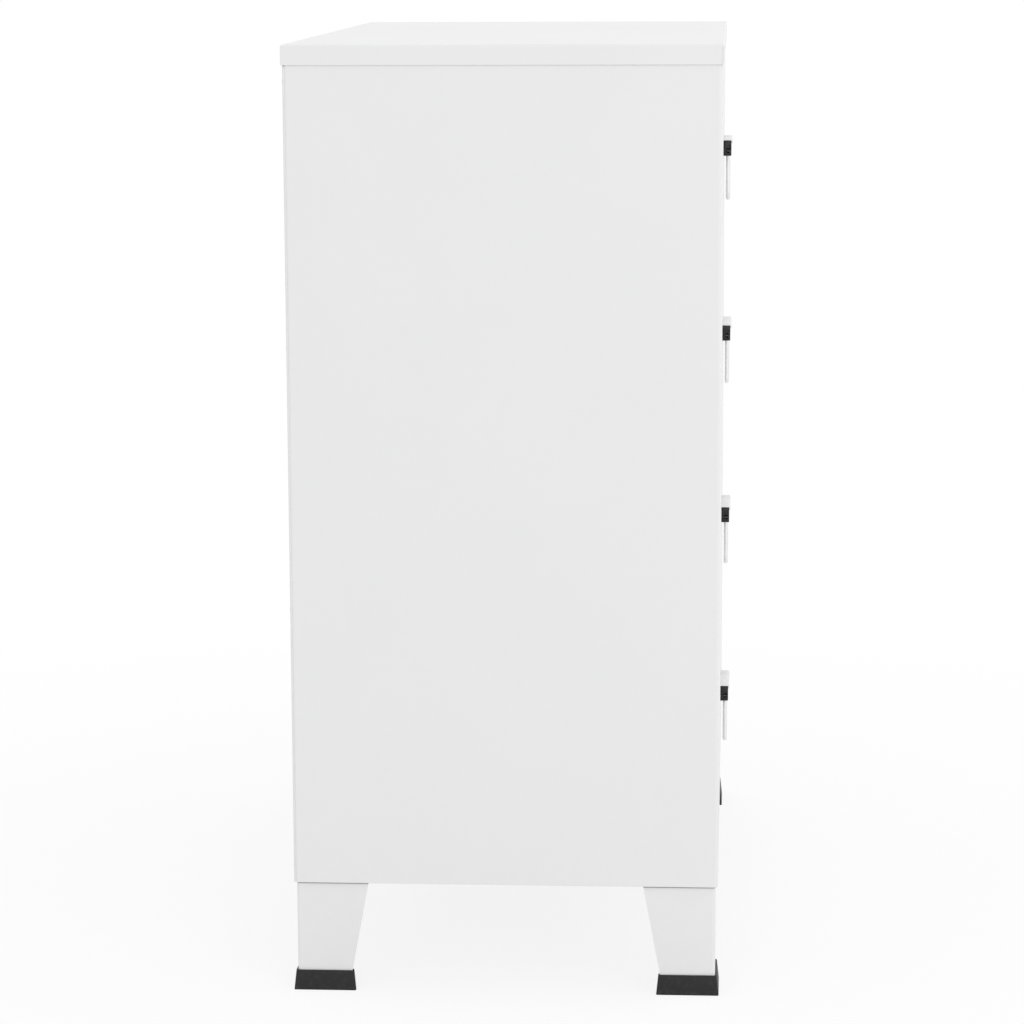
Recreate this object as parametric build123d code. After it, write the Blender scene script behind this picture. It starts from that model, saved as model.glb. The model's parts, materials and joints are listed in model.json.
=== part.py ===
"""Four-drawer steel cabinet on tapered legs, with drop handles and ball slides.

Millimetres, +Z up, the front faces -Y. The origin lies on the floor, under the middle of the
whole object. Every piece is worked out about the body's own middle and moved there at the end.
"""

import math
import os

from build123d import *

# Body
body_width = 780.0
body_depth = 400.0
overall_height = 890.0
body_underside = 105.0
sheet = 1.0
bend_radius = 2.5
fit_clearance = 0.5
flange_width = 15.0
cut_overrun = 2.0

# Side posts, folded from the side panels
post_width = 20.0
post_return = 52.0

# Lid
lid_skirt = 18.5
lid_clearance = 0.4
lid_edge_radius = 1.8
lid_seam = 0.7

# Rails
bottom_rail_height = 18.0
rail_lip = 15.0
cross_rail_height = 16.0
cross_rail_gap = 1.5

# Legs and foot caps
leg_sheet = 1.5
leg_inset = 2.3
leg_top_width = 68.0
leg_bottom_width = 52.0
leg_bend_radius = 3.0
leg_flange_chamfer = 26.0
cap_height = 19.0
cap_top_width = 55.0
cap_floor_width = 59.0
cap_sole = 5.0
cap_clearance = 0.2
cap_edge_radius = 1.2

# Leg bolts
bolt_radius = 3.0
bolt_head_width = 10.0
bolt_head_height = 4.0
bolt_hole_clearance = 0.25
bolt_from_corner = 26.0
bolt_spacing = 28.0

# Drawers
drawer_count = 4
front_gap = 3.0
front_side_gap = 2.0
front_depth = 18.0
front_lip = 20.0
front_edge_radius = 1.8
box_sheet = 0.8
box_height = 150.0
box_rise = 16.0
box_hem = 10.0

# Ball slides
slide_thickness = 10.5
slide_height = 27.0
slide_rear_room = 32.0
slide_setback = 2.0
slide_rise = 62.0
channel_sheet = 1.2
channel_bend_radius = 1.4
channel_flange = 7.8
channel_lip = 2.5
runner_height = 17.6
runner_flange = 7.5
travel_share = 0.75
cage_sheet = 0.6
cage_flange = 5.0
cage_gap = 0.4
cage_end_room = 1.0
ball_radius = 1.6
ball_pocket_clearance = 0.1
balls_per_row = 4
ball_end_share = 0.1
ball_facet_share = 0.293

# Drop handles
bracket_width = 72.0
bracket_height = 15.5
bracket_proud = 8.0
bracket_plate = 2.0
bracket_boss = 5.0
bracket_boss_width = 40.0
bracket_lug = 6.0
bracket_edge_radius = 0.8
bracket_drop = 3.5
hood_sheet = 1.2
hood_bend_radius = 1.2
hood_lip = 4.0
bail_rod_radius = 2.2
bail_axis_height = 5.3
bail_axis_proud = 4.8
bail_width = 54.0
bail_drop = 48.5
bail_top_radius = 2.8
bail_corner_radius = 6.0
bail_bore_clearance = 0.08
bail_end_inset = 0.3

# Screws
screw_radius = 2.0
screw_clearance = 0.05
screw_head_radius = 3.6
screw_head_height = 1.0
handle_screw_spacing = 28.0
handle_screw_depth = 3.0
back_screw_edge = 10.0
back_screw_rows = 4
channel_screw_inset = 12.0

# Places worked out from the sizes
half_width = body_width / 2
half_depth = body_depth / 2
panel_top = overall_height - sheet
post_face = half_width - post_width
drawer_zone_low = body_underside + bottom_rail_height
drawer_zone_high = overall_height - lid_skirt
drawer_pitch = (drawer_zone_high - drawer_zone_low) / drawer_count
lid_reach = lid_clearance + sheet
front_reach = half_depth + bracket_proud + hood_sheet
rear_reach = half_depth + lid_reach
body_middle_y = (front_reach - rear_reach) / 2
front_back = -half_depth + front_depth
box_half_width = post_face - slide_thickness
slide_front = front_back + slide_setback
slide_rear = half_depth - slide_rear_room
drawer_travel = (slide_rear - slide_front) * travel_share
box_rear = slide_rear
leg_floor = cap_sole


def slab(x_range, y_range, z_range):
    """A square-edged block between the given pairs of limits."""
    size = [high - low for low, high in (x_range, y_range, z_range)]
    middle = [(high + low) / 2 for low, high in (x_range, y_range, z_range)]
    return Pos(*middle) * Box(*size)


def folded(points, thickness, radius):
    """Section of a folded sheet along the middle line through the points."""
    return trace(FilletPolyline(*points, radius=radius), line_width=thickness)


def along_x(section, x_low, x_high):
    """A section drawn in Y and Z, run from one X to another."""
    return extrude(Plane.YZ.offset(x_low) * section, amount=x_high - x_low)


def along_y(section, y_low, y_high):
    """A section drawn in X and Z, run from one Y to another."""
    return extrude(Plane.XZ.offset(-y_high) * section, amount=y_high - y_low)


def along_z(section, z_low, z_high):
    """A section drawn in X and Y, run from one Z to another."""
    return extrude(Plane.XY.offset(z_low) * section, amount=z_high - z_low)


def rod_x(radius, x_low, x_high, y, z):
    """A round rod that runs along X."""
    return along_x(Pos(y, z) * Circle(radius), x_low, x_high)


def rod_y(radius, y_low, y_high, x, z):
    """A round rod that runs along Y."""
    return along_y(Pos(x, z) * Circle(radius), y_low, y_high)


def rod_z(radius, z_low, z_high, x, y):
    """A round rod that runs along Z."""
    return along_z(Pos(x, y) * Circle(radius), z_low, z_high)


def drawer_base(number):
    """Height of the lower limit of a drawer's own zone; drawer 1 is the top one."""
    return drawer_zone_low + (drawer_count - number) * drawer_pitch


def slide_level(number):
    """Height of the middle line of a drawer's slides."""
    return drawer_base(number) + slide_rise


def channel_screw_places(number):
    """Y and Z of the two screws that hold a slide's channel to the posts."""
    level = slide_level(number)
    return [(slide_front + channel_screw_inset, level), (slide_rear - channel_screw_inset, level)]


def back_screw_places():
    """X and Z of the screws along the two upright edges of the back panel."""
    x = half_width - back_screw_edge
    low = body_underside + flange_width
    step = (drawer_zone_high - flange_width - low) / (back_screw_rows - 1)
    return [(side * x, low + row * step) for side in (-1, 1) for row in range(back_screw_rows)]


def leg_bolt_places():
    """X and Y of the two bolts of each leg, on the slant across its corner."""
    near = leg_inset + bolt_from_corner
    far = near + bolt_spacing
    places = []
    for side_x in (-1, 1):
        for side_y in (-1, 1):
            for from_x, from_y in ((near, far), (far, near)):
                places.append((side_x * (half_width - from_x), side_y * (half_depth - from_y)))
    return places


def left_side_panel():
    """Outer wall with its posts folded in at the front and the rear, and a top flange."""
    wall = -half_width + sheet / 2
    inner = -post_face - sheet / 2
    front = -half_depth + sheet / 2
    rear = half_depth - sheet - sheet / 2
    section = folded(
        [
            (inner, front + post_return),
            (inner, front),
            (wall, front),
            (wall, rear),
            (inner, rear),
            (inner, rear - post_return),
        ],
        sheet,
        bend_radius,
    )
    panel = along_z(section, body_underside, panel_top)
    wall_inside = -half_width + sheet
    panel += slab(
        (wall_inside, wall_inside + flange_width),
        (front, rear),
        (panel_top - sheet, panel_top),
    )
    panel -= slab(
        (wall_inside, -post_face + cut_overrun),
        (-half_depth - cut_overrun, half_depth + cut_overrun),
        (body_underside - cut_overrun, body_underside + sheet),
    )
    for number in range(1, drawer_count + 1):
        for y, z in channel_screw_places(number):
            panel -= rod_x(screw_radius + screw_clearance, inner - sheet, inner + sheet, y, z)
    for x, z in back_screw_places():
        if x < 0:
            panel -= rod_y(screw_radius + screw_clearance, rear - sheet, rear + sheet, x, z)
    return panel


def back_panel():
    """Flat sheet over the rear posts."""
    panel = slab(
        (-half_width + sheet, half_width - sheet),
        (half_depth - sheet, half_depth),
        (body_underside, panel_top),
    )
    for x, z in back_screw_places():
        hole_low = half_depth - sheet - cut_overrun
        panel -= rod_y(screw_radius + screw_clearance, hole_low, half_depth + cut_overrun, x, z)
    return panel


def bottom_panel():
    """Sheet under the posts, turned up in front as the bottom rail and turned up at the rear."""
    front = -half_depth + sheet / 2
    rear = half_depth - sheet - fit_clearance - sheet / 2
    level = body_underside + sheet / 2
    rail_top = drawer_zone_low - sheet / 2
    section = folded(
        [
            (rear, level + flange_width),
            (rear, level),
            (front, level),
            (front, rail_top),
            (front + rail_lip, rail_top),
        ],
        sheet,
        bend_radius,
    )
    inner = post_face - fit_clearance
    panel = along_x(section, -inner, inner)
    outer = half_width - sheet - fit_clearance
    panel += slab(
        (-outer, outer),
        (front + bend_radius, rear - bend_radius),
        (body_underside, body_underside + sheet),
    )
    for x, y in leg_bolt_places():
        hole_high = body_underside + sheet + cut_overrun
        panel -= rod_z(bolt_radius + bolt_hole_clearance, body_underside - cut_overrun, hole_high, x, y)
    return panel


def lid():
    """Shallow tray over the body, with open seams beside its front and rear skirts."""
    x_outer = half_width + lid_reach
    y_outer = half_depth + lid_reach
    skirt_low = overall_height - lid_skirt
    tray = slab((-x_outer, x_outer), (-y_outer, y_outer), (skirt_low, overall_height))
    tray = fillet(tray.faces().sort_by(Axis.Z)[-1].edges(), lid_edge_radius)
    x_inner = x_outer - sheet
    y_inner = y_outer - sheet
    tray -= slab((-x_inner, x_inner), (-y_inner, y_inner), (skirt_low - cut_overrun, panel_top))
    seam_high = overall_height - lid_edge_radius - sheet
    for side_x in (-1, 1):
        for side_y in (-1, 1):
            x_limits = sorted((side_x * x_inner, side_x * (x_outer + cut_overrun)))
            y_limits = sorted((side_y * y_inner, side_y * (y_inner - lid_seam)))
            tray -= slab(x_limits, y_limits, (skirt_low - cut_overrun, seam_high))
    return tray


def top_rail():
    """Channel behind the lid's front skirt, between the posts."""
    front = -half_depth + sheet / 2
    top = panel_top - sheet / 2
    low = drawer_zone_high + sheet / 2
    section = folded(
        [(front + post_width, top), (front, top), (front, low), (front + rail_lip, low)],
        sheet,
        bend_radius,
    )
    inner = post_face - fit_clearance
    return along_x(section, -inner, inner)


def cross_rail(level):
    """Channel behind the gap between two drawer fronts, open to the rear."""
    front = front_back + cross_rail_gap + sheet / 2
    rise = (cross_rail_height - sheet) / 2
    section = folded(
        [
            (front + rail_lip, level + rise),
            (front, level + rise),
            (front, level - rise),
            (front + rail_lip, level - rise),
        ],
        sheet,
        bend_radius,
    )
    inner = post_face - fit_clearance
    return along_x(section, -inner, inner)


def leg_width(z):
    """Width of a leg's faces at a height; the taper is straight."""
    fall = (leg_top_width - leg_bottom_width) / (body_underside - cap_height)
    return leg_top_width - fall * (body_underside - z)


def corner_leg():
    """Folded angle with tapered faces and a bolted top flange; its outer corner is at 0, 0."""
    top = body_underside
    profile = [
        (0, leg_floor),
        (leg_width(leg_floor), leg_floor),
        (leg_width(top), top),
        (0, top),
    ]
    face_x = along_x(make_face(Polyline(*profile, close=True)), 0, leg_sheet)
    face_y = along_y(make_face(Polyline(*profile, close=True)), 0, leg_sheet)
    angle = face_x + face_y
    corner = angle.edges().filter_by(Axis.Z).sort_by(lambda edge: edge.center().X + edge.center().Y)[0]
    angle = fillet(corner, leg_bend_radius)
    flange = slab((leg_sheet, leg_top_width), (leg_sheet, leg_top_width), (top - leg_sheet, top))
    far_corner = flange.edges().filter_by(Axis.Z).sort_by(lambda edge: edge.center().X + edge.center().Y)[-1]
    leg = angle + chamfer(far_corner, leg_flange_chamfer)
    near = bolt_from_corner
    far = near + bolt_spacing
    for x, y in ((near, far), (far, near)):
        hole_low = top - leg_sheet - cut_overrun
        leg -= rod_z(bolt_radius + bolt_hole_clearance, hole_low, top + cut_overrun, x, y)
    return leg


def corner_foot():
    """Plastic shoe that flares to the floor, with an angled slot for its leg."""
    overhang = (cap_top_width - leg_width(cap_height)) / 2
    middle = cap_top_width / 2 - overhang
    flare = math.degrees(math.atan2((cap_floor_width - cap_top_width) / 2, cap_height))
    sole = Pos(middle, middle) * Rectangle(cap_floor_width, cap_floor_width)
    shoe = extrude(sole, amount=cap_height, taper=flare)
    corners = shoe.edges().filter_by(lambda edge: 0 < edge.center().Z < cap_height)
    shoe = fillet(corners, cap_edge_radius)
    low = -cap_clearance
    high = leg_sheet + cap_clearance
    end = leg_width(cap_height) + cap_clearance
    z_limits = (leg_floor, cap_height + cut_overrun)
    shoe -= slab((low, high), (low, end), z_limits)
    shoe -= slab((low, end), (low, high), z_limits)
    return shoe


def at_corner(shape, side_x, side_y):
    """A corner piece turned into one of the four corners of the body."""
    if side_x > 0:
        shape = mirror(shape, about=Plane.YZ)
    if side_y > 0:
        shape = mirror(shape, about=Plane.XZ)
    return Pos(side_x * (half_width - leg_inset), side_y * (half_depth - leg_inset), 0) * shape


def leg_bolts():
    """Hexagon bolts up through the leg flanges, with their nuts on the bottom panel."""
    pieces = []
    flange_low = body_underside - leg_sheet
    sheet_top = body_underside + sheet
    hexagon = RegularPolygon(bolt_head_width / 2, 6, major_radius=False)
    ring = hexagon - Circle(bolt_radius + screw_clearance)
    for x, y in leg_bolt_places():
        head = along_z(Pos(x, y) * hexagon, flange_low - bolt_head_height, flange_low)
        shank = rod_z(bolt_radius, flange_low, sheet_top + bolt_head_height, x, y)
        pieces.append(head + shank)
        pieces.append(along_z(Pos(x, y) * ring, sheet_top, sheet_top + bolt_head_height))
    return pieces


def back_screws():
    """Pan-head screws that hold the back panel to the rear posts."""
    pieces = []
    shank_front = half_depth - sheet - sheet
    for x, z in back_screw_places():
        head = rod_y(screw_head_radius, half_depth, half_depth + screw_head_height, x, z)
        pieces.append(head + rod_y(screw_radius, shank_front, half_depth, x, z))
    return pieces


def channel_screws():
    """Flush screws that hold the slide channels to the posts."""
    pieces = []
    for number in range(1, drawer_count + 1):
        for y, z in channel_screw_places(number):
            for side in (-1, 1):
                limits = sorted((side * (post_face - channel_sheet), side * (post_face + sheet)))
                pieces.append(rod_x(screw_radius, *limits, y, z))
    return pieces


def on_side(shape, side):
    """A piece made for the left side of the body, mirrored where it belongs on the right."""
    return shape if side < 0 else mirror(shape, about=Plane.YZ)


def slide_member(points, thickness, radius, y_low, y_high, number):
    """Left-hand folded strip, its points given as (distance from the post, height)."""
    section = Pos(-post_face, slide_level(number)) * folded(points, thickness, radius)
    return along_y(section, y_low, y_high)


def slide_channel(side, number):
    """Outer member of a ball slide: a lipped channel, screwed to the posts."""
    web = channel_sheet / 2
    rise = (slide_height - channel_sheet) / 2
    lip = channel_flange
    points = [
        (lip, rise - channel_lip),
        (lip, rise),
        (web, rise),
        (web, -rise),
        (lip, -rise),
        (lip, -rise + channel_lip),
    ]
    channel = slide_member(points, channel_sheet, channel_bend_radius, slide_front, slide_rear, number)
    hole_high = -post_face + channel_sheet + cut_overrun
    for y, z in channel_screw_places(number):
        channel -= rod_x(screw_radius + screw_clearance, -post_face - cut_overrun, hole_high, y, z)
    return on_side(channel, side)


def slide_runner(side, number):
    """Inner member of a ball slide: a channel on the side of the drawer box."""
    web = slide_thickness - channel_sheet / 2
    rise = (runner_height - channel_sheet) / 2
    tip = slide_thickness - runner_flange
    points = [(tip, rise), (web, rise), (web, -rise), (tip, -rise)]
    runner = slide_member(points, channel_sheet, channel_bend_radius, slide_front, slide_rear, number)
    return on_side(runner, side)


def cage_limits():
    """Y limits of a ball cage at rest, so that it stays between both members at full travel."""
    front = slide_front + drawer_travel / 2 + cage_end_room
    rear = slide_rear - drawer_travel / 2 - cage_end_room
    return front, rear


def ball_level():
    """Height of the ball row over the slide's middle line."""
    channel_inside = slide_height / 2 - channel_sheet
    return (channel_inside + runner_height / 2) / 2


def faceted_ball():
    """A small ball, drawn as a cube with its edges cut off."""
    width = ball_radius + ball_radius
    return chamfer(Box(width, width, width).edges(), width * ball_facet_share)


def ball_cage(side, number):
    """Strip with two rows of pockets, and the balls in them."""
    front, rear = cage_limits()
    web = channel_sheet + cage_gap + cage_sheet / 2
    rise = ball_level()
    tip = web + cage_flange
    points = [(tip, rise), (web, rise), (web, -rise), (tip, -rise)]
    cage = slide_member(points, cage_sheet, cage_sheet, front, rear, number)
    x = (web + tip) / 2 - post_face
    end = (rear - front) * ball_end_share
    step = (rear - front - end - end) / (balls_per_row - 1)
    ball = faceted_ball()
    balls = []
    for row in (-1, 1):
        z = slide_level(number) + row * rise
        for place in range(balls_per_row):
            y = front + end + place * step
            cage -= rod_z(ball_radius + ball_pocket_clearance, z - cage_sheet, z + cage_sheet, x, y)
            balls.append(Pos(x, y, z) * ball)
    return [on_side(piece, side) for piece in (cage, *balls)]


def handle_screw_places(number):
    """X and Z of the two screws of a drawer's handle bracket."""
    level = bracket_low(number) + bracket_height / 2
    return [(side * handle_screw_spacing / 2, level) for side in (-1, 1)]


def bracket_low(number):
    """Height of the lower edge of a drawer's handle bracket."""
    return drawer_base(number) + drawer_pitch / 2 - bracket_drop - bracket_height / 2


def drawer_front(number):
    """Folded pan with returns and a lip all round, fixed to the front wall of the box."""
    base = drawer_base(number)
    x_outer = post_face - front_side_gap
    z_low = base + front_gap / 2
    z_high = base + drawer_pitch - front_gap / 2
    pan = slab((-x_outer, x_outer), (-half_depth, front_back), (z_low, z_high))
    pan = fillet(pan.faces().sort_by(Axis.Y)[0].edges(), front_edge_radius)
    inner = x_outer - sheet
    pan -= slab((-inner, inner), (-half_depth + sheet, front_back - sheet), (z_low + sheet, z_high - sheet))
    window = x_outer - front_lip
    pan -= slab(
        (-window, window),
        (front_back - sheet - cut_overrun, front_back + cut_overrun),
        (z_low + front_lip, z_high - front_lip),
    )
    for x, z in handle_screw_places(number):
        hole_high = -half_depth + sheet + cut_overrun
        pan -= rod_y(screw_radius + screw_clearance, -half_depth - cut_overrun, hole_high, x, z)
    return pan


def drawer_box(number):
    """Folded box, open at the top, with a doubled hem along its sides and back."""
    low = drawer_base(number) + box_rise
    high = low + box_height
    outer = slab((-box_half_width, box_half_width), (front_back, box_rear), (low, high))
    inside = box_half_width - box_sheet
    box = outer - slab(
        (-inside, inside),
        (front_back + box_sheet, box_rear - box_sheet),
        (low + box_sheet, high + cut_overrun),
    )
    hem_outer = box_half_width + box_sheet
    hem = slab((-hem_outer, hem_outer), (front_back, box_rear + box_sheet), (high - box_hem, high))
    hem -= slab(
        (-box_half_width, box_half_width),
        (front_back - cut_overrun, box_rear),
        (high - box_hem - cut_overrun, high + cut_overrun),
    )
    return box + hem


def handle_bracket(number):
    """Plate with a boss for its screws and a lug at each end, bored for the trunnions of the bail."""
    low = bracket_low(number)
    high = low + bracket_height
    half = bracket_width / 2
    back = -half_depth
    face = back - bracket_proud
    bracket = slab((-half, half), (face, back), (low, high))
    bracket = fillet(bracket.faces().sort_by(Axis.Y)[0].edges(), bracket_edge_radius)
    gap = half - bracket_lug
    z_limits = (low - cut_overrun, high + cut_overrun)
    bracket -= slab((-gap, gap), (face - cut_overrun, back - bracket_plate), z_limits)
    boss = bracket_boss_width / 2
    bracket += slab((-boss, boss), (back - bracket_boss, back), (low, high))
    bore_y = back - bail_axis_proud
    bore_z = low + bail_axis_height
    bore_end = half + cut_overrun
    bracket -= rod_x(bail_rod_radius + bail_bore_clearance, -bore_end, bore_end, bore_y, bore_z)
    for x, z in handle_screw_places(number):
        bracket -= rod_y(screw_radius + screw_clearance, back - handle_screw_depth, back + cut_overrun, x, z)
    return bracket


def handle_hood(number):
    """Folded strip over the top of a handle bracket, with a lip down its front."""
    top = bracket_low(number) + bracket_height + hood_sheet / 2
    front = -half_depth - bracket_proud - hood_sheet / 2
    lip_low = top + hood_sheet / 2 - hood_lip
    section = folded([(-half_depth, top), (front, top), (front, lip_low)], hood_sheet, hood_bend_radius)
    return along_x(section, -bracket_width / 2, bracket_width / 2)


def handle_bail(number):
    """Bent rod that hangs from its two trunnions."""
    axis_z = bracket_low(number) + bail_axis_height
    end = bracket_width / 2 - bail_end_inset
    arm = bail_width / 2
    points = [(-end, 0), (-arm, 0), (-arm, -bail_drop), (arm, -bail_drop), (arm, 0), (end, 0)]
    radii = [bail_top_radius, bail_corner_radius, bail_corner_radius, bail_top_radius]
    path = Plane.XZ * FilletPolyline(*points, radius=radii)
    start = Plane(origin=path @ 0, z_dir=path % 0)
    rod = sweep(start * Circle(bail_rod_radius), path=path)
    return Pos(0, -half_depth - bail_axis_proud, axis_z) * rod


def handle_screws(number):
    """Pan-head screws from inside the drawer front into the bracket."""
    pieces = []
    skin = -half_depth + sheet
    tip = -half_depth - handle_screw_depth + fit_clearance
    for x, z in handle_screw_places(number):
        head = rod_y(screw_head_radius, skin, skin + screw_head_height, x, z)
        pieces.append(head + rod_y(screw_radius, tip, skin, x, z))
    return pieces


def whole_cabinet():
    """Every piece by its name."""
    left = left_side_panel()
    pieces = {
        "left_side_panel": left,
        "right_side_panel": mirror(left, about=Plane.YZ),
        "back_panel": back_panel(),
        "bottom_panel": bottom_panel(),
        "lid": lid(),
        "top_rail": top_rail(),
        "leg_bolts": leg_bolts(),
        "back_screws": back_screws(),
        "channel_screws": channel_screws(),
    }
    for number in range(1, drawer_count):
        pieces[f"cross_rail_{number}"] = cross_rail(drawer_base(number))
    leg = corner_leg()
    foot = corner_foot()
    for side_y, end in ((-1, "front"), (1, "rear")):
        for side_x, hand in ((-1, "left"), (1, "right")):
            pieces[f"{end}_{hand}_leg"] = at_corner(leg, side_x, side_y)
            pieces[f"{end}_{hand}_foot"] = at_corner(foot, side_x, side_y)
    for number in range(1, drawer_count + 1):
        drawer = f"drawer_{number}"
        pieces[f"{drawer}_front"] = drawer_front(number)
        pieces[f"{drawer}_box"] = drawer_box(number)
        pieces[f"{drawer}_handle_bracket"] = [handle_bracket(number), handle_hood(number)]
        pieces[f"{drawer}_handle_bail"] = handle_bail(number)
        pieces[f"{drawer}_handle_screws"] = handle_screws(number)
        pieces[f"{drawer}_ball_cages"] = ball_cage(-1, number) + ball_cage(1, number)
        for side, hand in ((-1, "left"), (1, "right")):
            pieces[f"{drawer}_{hand}_channel"] = slide_channel(side, number)
            pieces[f"{drawer}_{hand}_runner"] = slide_runner(side, number)
    return pieces


os.makedirs("parts", exist_ok=True)
for name, shape in whole_cabinet().items():
    solids = shape if isinstance(shape, list) else [shape]
    placed = [Pos(0, body_middle_y, 0) * solid for solid in solids]
    export_step(placed[0] if len(placed) == 1 else Compound(children=placed), f"parts/{name}.step")
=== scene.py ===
"""Looks of the four-drawer steel cabinet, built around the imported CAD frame.

Metres, +Z up, the drawers open towards -Y. The folded sheets of the carcass keep their solids and
get a powder coat. Handles, foot caps, drawers, fasteners and ball cages are modelled again with
soft edges and stand for their solids. Thin beads and filler close the seams.
"""

import json
import logging
import math
from contextlib import contextmanager
from dataclasses import dataclass
from enum import Enum
from typing import Any, Callable, Iterator, Optional, Union

import bmesh
import bpy
from mathutils import Matrix, Vector

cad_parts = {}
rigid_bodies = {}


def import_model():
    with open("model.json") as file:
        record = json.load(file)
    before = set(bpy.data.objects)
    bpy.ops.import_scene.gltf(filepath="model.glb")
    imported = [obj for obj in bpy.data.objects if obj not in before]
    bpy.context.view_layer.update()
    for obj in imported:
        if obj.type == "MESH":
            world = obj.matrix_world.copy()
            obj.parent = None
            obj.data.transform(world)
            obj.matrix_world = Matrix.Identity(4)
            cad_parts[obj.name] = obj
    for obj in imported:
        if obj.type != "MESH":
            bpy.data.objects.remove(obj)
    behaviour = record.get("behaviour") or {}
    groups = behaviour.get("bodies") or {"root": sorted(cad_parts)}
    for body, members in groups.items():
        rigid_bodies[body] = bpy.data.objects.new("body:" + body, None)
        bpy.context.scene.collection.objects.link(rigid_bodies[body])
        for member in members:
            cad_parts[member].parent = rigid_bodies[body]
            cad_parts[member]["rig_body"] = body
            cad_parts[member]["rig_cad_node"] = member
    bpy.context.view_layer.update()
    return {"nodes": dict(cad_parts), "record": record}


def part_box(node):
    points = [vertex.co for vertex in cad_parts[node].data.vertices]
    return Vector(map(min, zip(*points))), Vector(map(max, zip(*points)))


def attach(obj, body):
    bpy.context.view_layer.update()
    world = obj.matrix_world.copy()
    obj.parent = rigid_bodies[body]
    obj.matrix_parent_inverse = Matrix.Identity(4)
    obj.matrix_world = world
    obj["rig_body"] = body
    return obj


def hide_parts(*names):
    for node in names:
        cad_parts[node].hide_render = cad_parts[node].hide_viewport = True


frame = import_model()

LOG = logging.getLogger("cabinet")
MM = 0.001
TINY = 0.02 * MM
FACING = 0.9
STEEP = 0.7
LEVEL = 0.1
NEARLY = 0.01
FLAT_ANGLE = 1
SHARP_ANGLE = 35
HEXAGON = 6
DRAWERS = range(1, 5)

Piece = bpy.types.Object
Colour = tuple[float, float, float]
Corners = tuple[Vector, Vector]


class Slot(Enum):
    """The record's material slots."""

    WHITE_COAT = "white_coat"
    FOOT_PLASTIC = "foot_plastic"
    BRACKET_BLACK = "bracket_black"
    BAIL_CHROME = "bail_chrome"
    SLIDE_ZINC = "slide_zinc"
    FASTENER_ZINC = "fastener_zinc"


class Wire:
    """A shader socket that takes part in Python sums; each sum adds a Math node."""

    def __init__(self, board: "NodeBoard", socket: bpy.types.NodeSocket) -> None:
        """Keeps the socket and the board that its sums go to."""
        self.board = board
        self.socket = socket

    def _sum(self, operation: str, first: "Operand", second: "Operand") -> "Wire":
        """One Math node on two operands."""
        return self.board.add("ShaderNodeMath", {"operation": operation}, {0: first, 1: second})

    def __add__(self, other: "Operand") -> "Wire":
        """This plus another."""
        return self._sum("ADD", self, other)

    __radd__ = __add__

    def __sub__(self, other: "Operand") -> "Wire":
        """This minus another."""
        return self._sum("SUBTRACT", self, other)

    def __rsub__(self, other: "Operand") -> "Wire":
        """Another minus this."""
        return self._sum("SUBTRACT", other, self)

    def __mul__(self, other: "Operand") -> "Wire":
        """This times another."""
        return self._sum("MULTIPLY", self, other)

    __rmul__ = __mul__

    def __abs__(self) -> "Wire":
        """This without its sign."""
        return self.board.add("ShaderNodeMath", {"operation": "ABSOLUTE"}, {0: self})

    def largest(self, other: "Operand") -> "Wire":
        """The larger of this and another."""
        return self._sum("MAXIMUM", self, other)


Operand = Union[Wire, float, tuple[float, ...]]


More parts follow.
